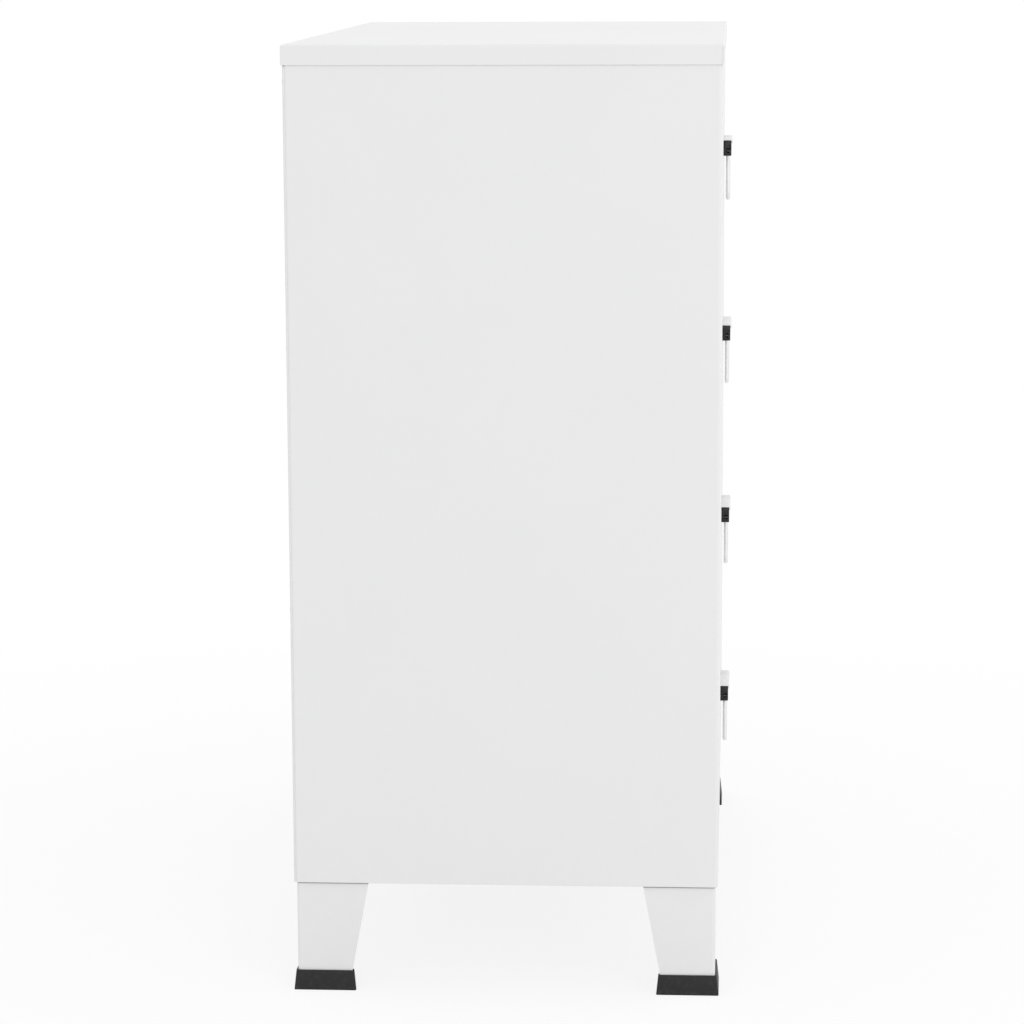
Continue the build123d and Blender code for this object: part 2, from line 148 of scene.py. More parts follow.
class NodeBoard:
    """The node tree of one material or of the world."""

    def __init__(self, tree: bpy.types.NodeTree) -> None:
        """Starts with an empty tree."""
        self.tree = tree
        self.tree.nodes.clear()

    def add(
        self,
        kind: str,
        settings: Optional[dict[str, Any]] = None,
        inputs: Optional[dict[Union[str, int], Operand]] = None,
        output: Union[str, int] = 0,
    ) -> Wire:
        """Adds any node.

        Args:
            kind: The node's type.
            settings: Its own settings, set first; "stops" is a ramp's two stops as (place, grey).
            inputs: Values or wires of its sockets.
            output: The socket that the wire starts from.

        Returns:
            The wire from that output.
        """
        node = self.tree.nodes.new(kind)
        for name, value in (settings or {}).items():
            if name == "stops":
                self._set_stops(node.color_ramp, value)
            else:
                setattr(node, name, value)
        for name, value in (inputs or {}).items():
            if isinstance(value, Wire):
                self.tree.links.new(value.socket, node.inputs[name])
            else:
                node.inputs[name].default_value = value
        return Wire(self, node.outputs[output] if len(node.outputs) else None)

    @staticmethod
    def _set_stops(ramp: bpy.types.ColorRamp, stops: list[tuple[float, float]]) -> None:
        """Sets the two grey stops of a ramp.

        Args:
            ramp: The ramp, which has two stops.
            stops: Two (place, grey) pairs in order.
        """
        for element, (place, grey) in zip(ramp.elements, stops):
            element.position = place
            element.color = (grey, grey, grey, 1)

    def place(self, stretch: Colour = (1, 1, 1)) -> Wire:
        """Object coordinates in metres, times a stretch along each axis."""
        coordinates = self.add("ShaderNodeTexCoord", output="Object")
        values = {"Vector": coordinates, "Scale": stretch}
        return self.add("ShaderNodeMapping", {"vector_type": "POINT"}, values)

    def along(self, axis: str) -> Wire:
        """One Object coordinate in metres."""
        return self.add("ShaderNodeSeparateXYZ", None, {0: self.place()}, output=axis)

    def noise(self, size: float, detail: float = 2, stretch: Colour = (1, 1, 1)) -> Wire:
        """Soft noise about 0.5.

        Args:
            size: Length of one cell, in metres.
            detail: Octaves of finer noise.
            stretch: Factors on the coordinates; under 1 draws the cells out.

        Returns:
            The noise as a value.
        """
        values = {"Vector": self.place(stretch), "Scale": 1 / size, "Detail": detail}
        return self.add("ShaderNodeTexNoise", {"noise_dimensions": "3D"}, values)

    def ramp(self, value: Wire, stops: list[tuple[float, float]]) -> Wire:
        """A value sent through a ramp of two grey stops."""
        return self.add("ShaderNodeValToRGB", {"stops": stops}, {"Fac": value})

    def rise(self, value: Wire, start: float, end: float) -> Wire:
        """0 up to a start, 1 from an end, and even between."""
        return self.ramp(value, [(start, 0.0), (end, 1.0)])

    def blend(self, factor: Operand, first: Operand, second: Operand) -> Wire:
        """A colour between two, each a colour or a wire, by a factor."""
        ends = [end if isinstance(end, Wire) else (*end, 1) for end in (first, second)]
        values = {0: factor, 6: ends[0], 7: ends[1]}
        return self.add("ShaderNodeMix", {"data_type": "RGBA"}, values, output=2)

    def bump(self, height: Wire, depth: float, under: Optional[Wire] = None) -> Wire:
        """A bumped normal.

        Args:
            height: The relief, from 0 to 1.
            depth: The relief's real depth in metres.
            under: A normal that this one is added to.

        Returns:
            The normal.
        """
        values: dict[Union[str, int], Operand] = {"Height": height, "Distance": depth, "Strength": 1}
        if under is not None:
            values["Normal"] = under
        return self.add("ShaderNodeBump", None, values)

    def surface(self, inputs: dict[Union[str, int], Operand]) -> None:
        """Ends the tree with one Principled shader."""
        shader = self.add("ShaderNodeBsdfPrincipled", None, inputs)
        self.add("ShaderNodeOutputMaterial", None, {"Surface": shader})


def new_board(name: str) -> tuple[bpy.types.Material, NodeBoard]:
    """A new material and its empty board."""
    material = bpy.data.materials.new(name)
    material.use_nodes = True
    return material, NodeBoard(material.node_tree)


@dataclass(frozen=True)
class PowderCoat:
    """Satin white powder coat: a fine orange peel on uneven sheet, with a painted shade line at the leg
    joints.
    """

    colour: Colour = (0.84, 0.84, 0.84)
    shade: Colour = (0.82, 0.821, 0.823)
    roughness: float = 0.34
    roughness_drift: float = 0.08
    peel_size: float = 1.1 * MM
    peel_depth: float = 0.035 * MM
    wave_size: float = 0.16
    wave_depth: float = 0.5 * MM
    cloud_size: float = 0.09
    cloud_share: float = 0.7
    speckle_size: float = 2.75 * MM
    # Painted shade: a dark line at joint_height on every white-coated piece stands in for the shadow gap
    # where the leg tops meet the body.
    dust_and_shade: Colour = (0.30, 0.30, 0.30)
    shade_full: float = 0.6
    joint_height: float = 104.3 * MM
    joint_reach: float = 0.9 * MM

    def make(self) -> bpy.types.Material:
        """The material."""
        material, board = new_board("white_powder_coat")
        # Painted shade: the base colour darkens in a thin band about the joint height, in place of the
        # shadow in the gap over the legs.
        off_joint = abs(board.along("Z") - self.joint_height) * (1 / self.joint_reach)
        painted_joint_shade = board.ramp(off_joint, [(self.shade_full, 1.0), (1.0, 0.0)])
        cloud = board.noise(self.cloud_size, detail=3)
        speckle = board.noise(self.speckle_size, detail=1)
        mottle = self.cloud_share * cloud + (1 - self.cloud_share) * speckle - 0.5
        coat = board.blend(cloud, self.colour, self.shade)
        wave = board.bump(board.noise(self.wave_size, detail=0), self.wave_depth)
        peel = board.bump(board.noise(self.peel_size), self.peel_depth, under=wave)
        board.surface({
            "Base Color": board.blend(painted_joint_shade, coat, self.dust_and_shade),
            "Roughness": self.roughness + self.roughness_drift * mottle,
            "Normal": peel,
        })
        return material


@dataclass(frozen=True)
class MouldedPlastic:
    """Matt black moulded plastic with a fine grain, greyed by scuffs near the floor."""

    colour: Colour = (0.016, 0.016, 0.0165)
    scuff: Colour = (0.045, 0.0445, 0.044)
    roughness: float = 0.50
    shine: float = 0.3
    grain_size: float = 0.55 * MM
    grain_depth: float = 0.05 * MM
    grain_gloss: float = 0.08
    scuff_size: float = 4 * MM
    scuff_height: float = 5 * MM
    scuff_least: float = 0.25
    scuff_gloss: float = 0.12
    patch_start: float = 0.48
    patch_end: float = 0.68

    def make(self) -> bpy.types.Material:
        """The material."""
        material, board = new_board("foot_black_plastic")
        grain = board.noise(self.grain_size, detail=3)
        height = board.along("Z") * (1 / self.scuff_height)
        near_floor = board.ramp(height, [(0.0, 1.0), (1.0, 0.0)])
        patches = board.rise(board.noise(self.scuff_size, detail=4), self.patch_start, self.patch_end)
        scuffs = patches * (self.scuff_least + (1 - self.scuff_least) * near_floor)
        board.surface({
            "Base Color": board.blend(scuffs, self.colour, self.scuff),
            "Roughness": self.roughness + self.scuff_gloss * scuffs + self.grain_gloss * (grain - 0.5),
            "Specular IOR Level": self.shine,
            "Normal": board.bump(grain, self.grain_depth),
        })
        return material


@dataclass(frozen=True)
class BlackEnamel:
    """Semi-gloss black enamel of the handle brackets, with a little dust and a soft peel."""

    colour: Colour = (0.012, 0.012, 0.0125)
    dust_and_shade: Colour = (0.030, 0.030, 0.031)
    roughness: float = 0.30
    shine: float = 0.3
    peel_size: float = 0.8 * MM
    peel_depth: float = 0.03 * MM
    dust_size: float = 3 * MM
    dust_start: float = 0.45
    dust_end: float = 0.75
    dust_gloss: float = 0.16

    def make(self) -> bpy.types.Material:
        """The material."""
        material, board = new_board("bracket_black_enamel")
        dust_and_shade = board.rise(board.noise(self.dust_size, detail=4), self.dust_start, self.dust_end)
        board.surface({
            "Base Color": board.blend(dust_and_shade, self.colour, self.dust_and_shade),
            "Roughness": self.roughness + self.dust_gloss * dust_and_shade,
            "Specular IOR Level": self.shine,
            "Normal": board.bump(board.noise(self.peel_size), self.peel_depth),
        })
        return material


@dataclass(frozen=True)
class PlatedMetal:
    """Plated steel: clouded colour, rubbed lines along one axis and a touch of relief."""

    name: str
    colour: Colour
    cloud: Colour
    roughness: float
    rub: float
    rub_stretch: Colour
    painted_from: Optional[float] = None
    paint: Colour = (0.03, 0.03, 0.031)
    cloud_size: float = 9 * MM
    cloud_start: float = 0.35
    cloud_end: float = 0.65
    cloud_gloss: float = 0.05
    rub_size: float = 0.5 * MM
    rub_depth: float = 0.002 * MM

    def make(self) -> bpy.types.Material:
        """The material; where painted_from is set, paint covers what lies further out along X."""
        material, board = new_board(self.name)
        cloud = board.rise(board.noise(self.cloud_size, detail=4), self.cloud_start, self.cloud_end)
        rubbed = board.noise(self.rub_size, detail=3, stretch=self.rub_stretch)
        colour = board.blend(cloud, self.colour, self.cloud)
        metal: Operand = 1.0
        if self.painted_from is not None:
            limits = {0: abs(board.along("X")), 1: self.painted_from}
            metal = board.add("ShaderNodeMath", {"operation": "LESS_THAN"}, limits)
            colour = board.blend(metal, self.paint, colour)
        board.surface({
            "Base Color": colour,
            "Metallic": metal,
            "Roughness": self.roughness + self.rub * (rubbed - 0.5) + self.cloud_gloss * cloud,
            "Normal": board.bump(rubbed, self.rub_depth),
        })
        return material


BAIL_PLATE = PlatedMetal(
    "bail_bright_plate", colour=(0.88, 0.88, 0.88), cloud=(0.84, 0.843, 0.846), roughness=0.36,
    rub=0.06, rub_stretch=(1, 1, 0.06), painted_from=33 * MM)
SLIDE_ZINC = PlatedMetal(
    "slide_zinc_plate", colour=(0.62, 0.64, 0.67), cloud=(0.55, 0.565, 0.58), roughness=0.34,
    rub=0.20, rub_stretch=(1, 0.04, 1))
FASTENER_ZINC = PlatedMetal(
    "fastener_zinc_plate", colour=(0.60, 0.60, 0.59), cloud=(0.50, 0.505, 0.52), roughness=0.30,
    rub=0.16, rub_stretch=(1, 1, 1))


class Finishes:
    """The made materials, by the record's slots."""

    def __init__(self) -> None:
        """Makes each finish once."""
        self.by_slot: dict[Slot, bpy.types.Material] = {
            Slot.WHITE_COAT: PowderCoat().make(),
            Slot.FOOT_PLASTIC: MouldedPlastic().make(),
            Slot.BRACKET_BLACK: BlackEnamel().make(),
            Slot.BAIL_CHROME: BAIL_PLATE.make(),
            Slot.SLIDE_ZINC: SLIDE_ZINC.make(),
            Slot.FASTENER_ZINC: FASTENER_ZINC.make(),
        }

    def coat(self, piece: Piece, slot: Slot) -> None:
        """Gives a piece the finish of a slot, in place of any other."""
        piece.data.materials.clear()
        piece.data.materials.append(self.by_slot[slot])


class Bench:
    """Modelling moves by Blender's own operators, on one piece at a time."""

    @staticmethod
    def clear() -> None:
        """Leaves edit mode and selects nothing."""
        if bpy.context.object is not None and bpy.context.object.mode != "OBJECT":
            bpy.ops.object.mode_set(mode="OBJECT")
        bpy.ops.object.select_all(action="DESELECT")

    @classmethod
    def take(cls, piece: Piece) -> None:
        """Makes a piece the only one selected, and the active one."""
        cls.clear()
        piece.select_set(True)
        bpy.context.view_layer.objects.active = piece

    @classmethod
    def block(cls, name: str, low: Vector, high: Vector) -> Piece:
        """A cube drawn out to two corners.

        Args:
            name: The new object's name.
            low: Its lowest corner.
            high: Its highest corner.

        Returns:
            The object, at the origin, with its place in its mesh.
        """
        cls.clear()
        bpy.ops.mesh.primitive_cube_add(size=1, location=(low + high) / 2)
        piece = bpy.context.object
        piece.scale = high - low
        return cls.settle(piece, name)

    @classmethod
    def settle(cls, piece: Piece, name: str) -> Piece:
        """Names a piece and puts its place, turn and size into its mesh."""
        cls.take(piece)
        bpy.ops.object.transform_apply(location=True, rotation=True, scale=True)
        piece.name = name
        piece.data.name = name
        return piece

    @classmethod
    def drum(cls, name: str, radius: float, start: Vector, end: Vector, sides: int) -> Piece:
        """A round bar between two points.

        Args:
            name: The new object's name.
            radius: Radius of the bar.
            start: Middle of one end.
            end: Middle of the other end.
            sides: Flats round it.

        Returns:
            The object, at the origin, with its place in its mesh.
        """
        cls.clear()
        run = end - start
        turn = run.to_track_quat("Z", "Y").to_euler()
        bpy.ops.mesh.primitive_cylinder_add(
            vertices=sides, radius=radius, depth=run.length, location=(start + end) / 2, rotation=turn)
        return cls.settle(bpy.context.object, name)

    @classmethod
    @contextmanager
    def editing(cls, piece: Piece) -> Iterator[None]:
        """Edit mode on one piece, with nothing selected at first."""
        cls.take(piece)
        bpy.ops.object.mode_set(mode="EDIT")
        bpy.ops.mesh.select_all(action="DESELECT")
        yield
        bpy.ops.object.mode_set(mode="OBJECT")

    @staticmethod
    def pick_faces(test: Callable[[Vector, Vector], bool]) -> None:
        """Selects the faces whose middle and normal pass a test, and no others."""
        bpy.ops.mesh.select_mode(type="FACE")
        bpy.ops.mesh.select_all(action="DESELECT")
        mesh = bpy.context.edit_object.data
        shape = bmesh.from_edit_mesh(mesh)
        for face in shape.faces:
            face.select_set(test(face.calc_center_median(), face.normal))
        bmesh.update_edit_mesh(mesh)

    @staticmethod
    def pick_edges(test: Callable[[Vector, Vector], bool]) -> None:
        """Selects the edges whose middle and direction pass a test, and no others."""
        bpy.ops.mesh.select_mode(type="EDGE")
        bpy.ops.mesh.select_all(action="DESELECT")
        mesh = bpy.context.edit_object.data
        shape = bmesh.from_edit_mesh(mesh)
        for edge in shape.edges:
            start, end = (vertex.co for vertex in edge.verts)
            edge.select_set(test((start + end) / 2, (end - start).normalized()))
        bmesh.update_edit_mesh(mesh)

    @staticmethod
    def pick_all() -> None:
        """Selects the whole piece."""
        bpy.ops.mesh.select_all(action="SELECT")

    @staticmethod
    def push(by: Vector) -> None:
        """Extrudes what is selected by a step."""
        bpy.ops.mesh.extrude_region_move(TRANSFORM_OT_translate={"value": by})

    @staticmethod
    def slice(place: Vector, normal: Vector) -> None:
        """Cuts what is selected along a plane."""
        bpy.ops.mesh.bisect(plane_co=place, plane_no=normal)

    @staticmethod
    def round_off(radius: float, segments: int, **settings: Any) -> None:
        """Bevels the selected edges, or the edges of the selected faces."""
        bpy.ops.mesh.bevel(offset=radius, segments=segments, affect="EDGES", **settings)

    @staticmethod
    def merge_flats() -> None:
        """Dissolves the lines that cross flat faces."""
        Bench.pick_all()
        bpy.ops.mesh.dissolve_limited(angle_limit=math.radians(FLAT_ANGLE))

    @classmethod
    def modify(cls, piece: Piece, kind: str, **settings: Any) -> None:
        """Adds a modifier with the given settings and applies it."""
        cls.take(piece)
        bpy.ops.object.modifier_add(type=kind)
        modifier = piece.modifiers[-1]
        for name, value in settings.items():
            setattr(modifier, name, value)
        bpy.ops.object.modifier_apply(modifier=modifier.name)

    @classmethod
    def cut(cls, piece: Piece, tool: Piece) -> None:
        """Takes a tool's shape out of a piece and removes the tool."""
        cls.modify(piece, "BOOLEAN", operation="DIFFERENCE", solver="EXACT", object=tool)
        bpy.data.objects.remove(tool)

    @classmethod
    def soften(cls, piece: Piece, width: float, segments: int = 2) -> None:
        """Rounds all sharp edges of a piece by a small width."""
        cls.modify(piece, "BEVEL", width=width, segments=segments, limit_method="ANGLE",
                   angle_limit=math.radians(SHARP_ANGLE), harden_normals=False)

    @classmethod
    def mend(cls, piece: Piece) -> None:
        """Merges doubled points and turns all faces outwards."""
        with cls.editing(piece):
            Bench.pick_all()
            bpy.ops.mesh.remove_doubles(threshold=TINY / 10)
            bpy.ops.mesh.normals_make_consistent(inside=False)

    @classmethod
    def smooth(cls, piece: Piece, angle: float = SHARP_ANGLE) -> None:
        """Shades a piece smooth, apart from edges over an angle in degrees."""
        cls.take(piece)
        bpy.ops.object.shade_smooth_by_angle(angle=math.radians(angle))

    @classmethod
    def copy(cls, piece: Piece, name: str, by: Vector) -> Piece:
        """A copy of a piece with its own mesh, moved by a step."""
        cls.take(piece)
        bpy.ops.object.duplicate(linked=False)
        twin = bpy.context.object
        twin.location += by
        return cls.settle(twin, name)

    @classmethod
    def join(cls, pieces: list[Piece], name: str) -> Piece:
        """One object of several pieces."""
        cls.take(pieces[0])
        for piece in pieces:
            piece.select_set(True)
        bpy.ops.object.join()
        return cls.settle(bpy.context.object, name)

    @classmethod
    def split_node(cls, node: str) -> list[Piece]:
        """The separate solids of a CAD node, as merged copies that can be measured or kept."""
        cls.take(frame["nodes"][node])
        bpy.ops.object.duplicate(linked=False)
        twin = bpy.context.object
        twin.parent = None
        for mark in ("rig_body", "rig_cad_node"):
            del twin[mark]
        cls.mend(twin)
        with cls.editing(twin):
            Bench.pick_all()
            bpy.ops.mesh.separate(type="LOOSE")
        return list(bpy.context.selected_objects)

    @classmethod
    def places_in(cls, node: str) -> list[Corners]:
        """Corners of each separate solid of a CAD node, from left to right."""
        solids = cls.split_node(node)
        places = [corners_of(solid) for solid in solids]
        for solid in solids:
            bpy.data.objects.remove(solid)
        return sorted(places, key=lambda corners: [round(value, 4) for value in corners[0]])

    @classmethod
    def repeat(cls, first: Piece, places: list[Corners]) -> list[Piece]:
        """A piece at the first of several places, and its copies at the others."""
        start = places[0][0]
        return [first] + [cls.copy(first, first.name, low - start) for low, _ in places[1:]]

    @classmethod
    def for_drawer(cls, piece: Piece, number: int, step: Vector) -> Piece:
        """The top drawer's piece, or its copy for a lower drawer, a step away."""
        if number == 1:
            return piece
        return cls.copy(piece, piece.name.replace("drawer_1", f"drawer_{number}"), step)


def corners_of(piece: Piece) -> Corners:
    """Lowest and highest corner of a piece at the origin."""
    points = [Vector(corner) for corner in piece.bound_box]
    return Vector(map(min, *points)), Vector(map(max, *points))


def seat(piece: Piece, node: str, body: str, slot: Slot, finishes: Finishes) -> None:
    """Puts a finished piece in the place of a CAD node.

    Args:
        piece: The piece, where the node is.
        node: The CAD node that it stands for.
        body: The CAD body that it moves with.
        slot: The record's slot that it takes its finish from.
        finishes: The made materials.
    """
    finishes.coat(piece, slot)
    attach(piece, body)
    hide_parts(node)
    LOG.info("%s: %d faces, rides on %s", piece.name, len(piece.data.polygons), body)


@dataclass
class Carcass:
    """Folded sheets, legs and slide members, which keep their solids."""

    def dress(self, finishes: Finishes) -> None:
        """Gives every CAD node the finish of its slot."""
        for subpart in frame["record"]["subparts"]:
            finishes.coat(frame["nodes"][subpart["node"]], Slot(subpart["material_slot"]))


@dataclass
class SeamBeads:
    """Paint-filled beads in the seams beside the back, and filler in the lid's corner slits."""

    radius: float = 0.6 * MM
    end_room: float = 0.5 * MM
    end_radius: float = 0.3 * MM
    sides: int = 12
    lid_sheet: float = 1 * MM
    lid_slit: float = 0.7 * MM
    lid_fold: float = 2.8 * MM
    overlap: float = 0.1 * MM
    rear_groove: float = 0.03 * MM
    front_groove: float = 0.4 * MM
    soft_edge: float = 0.1 * MM

    def build(self) -> Piece:
        """Models the left bead and the left slits' filler, and mirrors them.

        Returns:
            Beads and filler as one piece.
        """
        lid_low, lid_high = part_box("lid")
        step = self.lid_sheet + self.lid_slit / 2
        pieces = [
            self._bead(lid_low.z),
            self._filler(lid_high.y - step, self.rear_groove),
            self._filler(lid_low.y + step, self.front_groove),
        ]
        beads = Bench.join(pieces, "seam_beads")
        Bench.modify(beads, "MIRROR")
        Bench.mend(beads)
        Bench.smooth(beads)
        return beads

    def _bead(self, top: float) -> Piece:
        """The bead beside the back panel's left edge, with rounded ends, up to a height."""
        low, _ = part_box("back_panel")
        foot = Vector((low.x, low.y - self.radius / 2, low.z + self.end_room))
        end = Vector((foot.x, foot.y, top - self.end_room))
        bead = Bench.drum("bead", self.radius, foot, end, self.sides)
        with Bench.editing(bead):
            Bench.pick_faces(lambda at, normal: abs(normal.z) > FACING)
            Bench.round_off(self.end_radius, 3)
        return bead

    def _filler(self, middle: float, groove: float) -> Piece:
        """The filler of one slit in the lid's left skirt.

        Args:
            middle: The slit's middle along Y.
            groove: Depth under the skirt's face.

        Returns:
            The filler.
        """
        low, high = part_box("lid")
        reach = self.lid_slit / 2 + self.overlap
        start = Vector((low.x + groove, middle - reach, low.z + self.overlap))
        end = Vector((low.x + self.lid_sheet, middle + reach, high.z - self.lid_fold + self.overlap))
        filler = Bench.block("filler", start, end)
        Bench.soften(filler, self.soft_edge)
        return filler

    def dress(self, beads: Piece, finishes: Finishes) -> None:
        """Coats the beads and lets them ride on the cabinet."""
        finishes.coat(beads, Slot.WHITE_COAT)
        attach(beads, "cabinet")
        LOG.info("%s: %d faces, rides on cabinet", beads.name, len(beads.data.polygons))


@dataclass
class FootCaps:
    """Moulded corner shoes on the legs, flared to the floor, with an angled slot for the folded leg."""

    top_share: float = 55 / 59
    rim: float = 1.3 * MM
    slot_width: float = 1.9 * MM
    sole: float = 5 * MM
    corner_radius: float = 1.4 * MM
    soft_edge: float = 0.35 * MM
    arm_end: float = 5 * MM
    sole_margin: float = 2 * MM
    sole_recess: float = 0.8 * MM

    def build(self) -> dict[str, Piece]:
        """Models the front left cap and turns copies of it into the other corners.

        Returns:
            The caps by their nodes' names.
        """
        low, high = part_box("front_left_foot")
        middle = (low + high) / 2
        cap = Bench.block("front_left_foot_cap", low, high)
        top_low = middle + (low - middle) * self.top_share
        top_high = middle + (high - middle) * self.top_share
        with Bench.editing(cap):
            Bench.pick_faces(lambda at, normal: normal.z > FACING)
            share = (self.top_share, self.top_share, 1)
            bpy.ops.transform.resize(value=share, center_override=(middle.x, middle.y, high.z))
            Bench.pick_all()
            slant = Vector((top_low.x + self.arm_end, top_high.y, 0))
            bpy.ops.mesh.bisect(plane_co=slant, plane_no=(1, 1, 0), use_fill=True, clear_outer=True)
            Bench.pick_faces(lambda at, normal: normal.z < -FACING)
            bpy.ops.mesh.inset(thickness=self.sole_margin)
            Bench.push(Vector((0, 0, self.sole_recess)))
            Bench.pick_edges(lambda at, along: abs(along.z) > STEEP and at.z > low.z + self.sole_recess)
            Bench.round_off(self.corner_radius, 4)
            for axis in (Vector((1, 0, 0)), Vector((0, 1, 0))):
                near = top_low + Vector((self.rim, self.rim, 0))
                for place in (near, near + Vector((self.slot_width, self.slot_width, 0)),
                              top_high - Vector((self.rim, self.rim, 0))):
                    Bench.pick_faces(lambda at, normal: normal.z > FACING)
                    Bench.slice(place, axis)
            Bench.pick_faces(lambda at, normal: self._in_slot(at, normal, top_low, top_high))
            Bench.push(Vector((0, 0, self.sole - high.z)))
            Bench.merge_flats()
        Bench.mend(cap)
        Bench.soften(cap, self.soft_edge)
        Bench.smooth(cap)
        return self._corners(cap, middle)

    def _in_slot(self, at: Vector, normal: Vector, low: Vector, high: Vector) -> bool:
        """Whether a top face lies in the angled slot along the two outer sides."""
        inner = self.rim + self.slot_width
        in_x = low.x + self.rim < at.x < low.x + inner and low.y + self.rim < at.y < high.y - self.rim
        in_y = low.y + self.rim < at.y < low.y + inner and low.x + self.rim < at.x < high.x - self.rim
        return normal.z > FACING and (in_x or in_y)

    def _corners(self, cap: Piece, middle: Vector) -> dict[str, Piece]:
        """Copies the cap to the other corners, turned so that the slot faces outwards.

        Args:
            cap: The front left cap.
            middle: Its middle.

        Returns:
            All four caps by their nodes' names.
        """
        caps = {"front_left_foot": cap}
        for node, turns in (("front_right_foot", 1), ("rear_right_foot", 2), ("rear_left_foot", 3)):
            low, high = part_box(node)
            twin = Bench.copy(cap, node + "_cap", Vector((0, 0, 0)))
            there = (low + high) / 2
            turn = Matrix.Rotation(turns * math.pi / 2, 4, "Z")
            twin.matrix_world = Matrix.Translation(there) @ turn @ Matrix.Translation(-middle)
            caps[node] = Bench.settle(twin, node + "_cap")
        return caps

    def dress(self, caps: dict[str, Piece], finishes: Finishes) -> None:
        """Seats the caps under the legs."""
        for node, cap in caps.items():
            seat(cap, node, "cabinet", Slot.FOOT_PLASTIC, finishes)


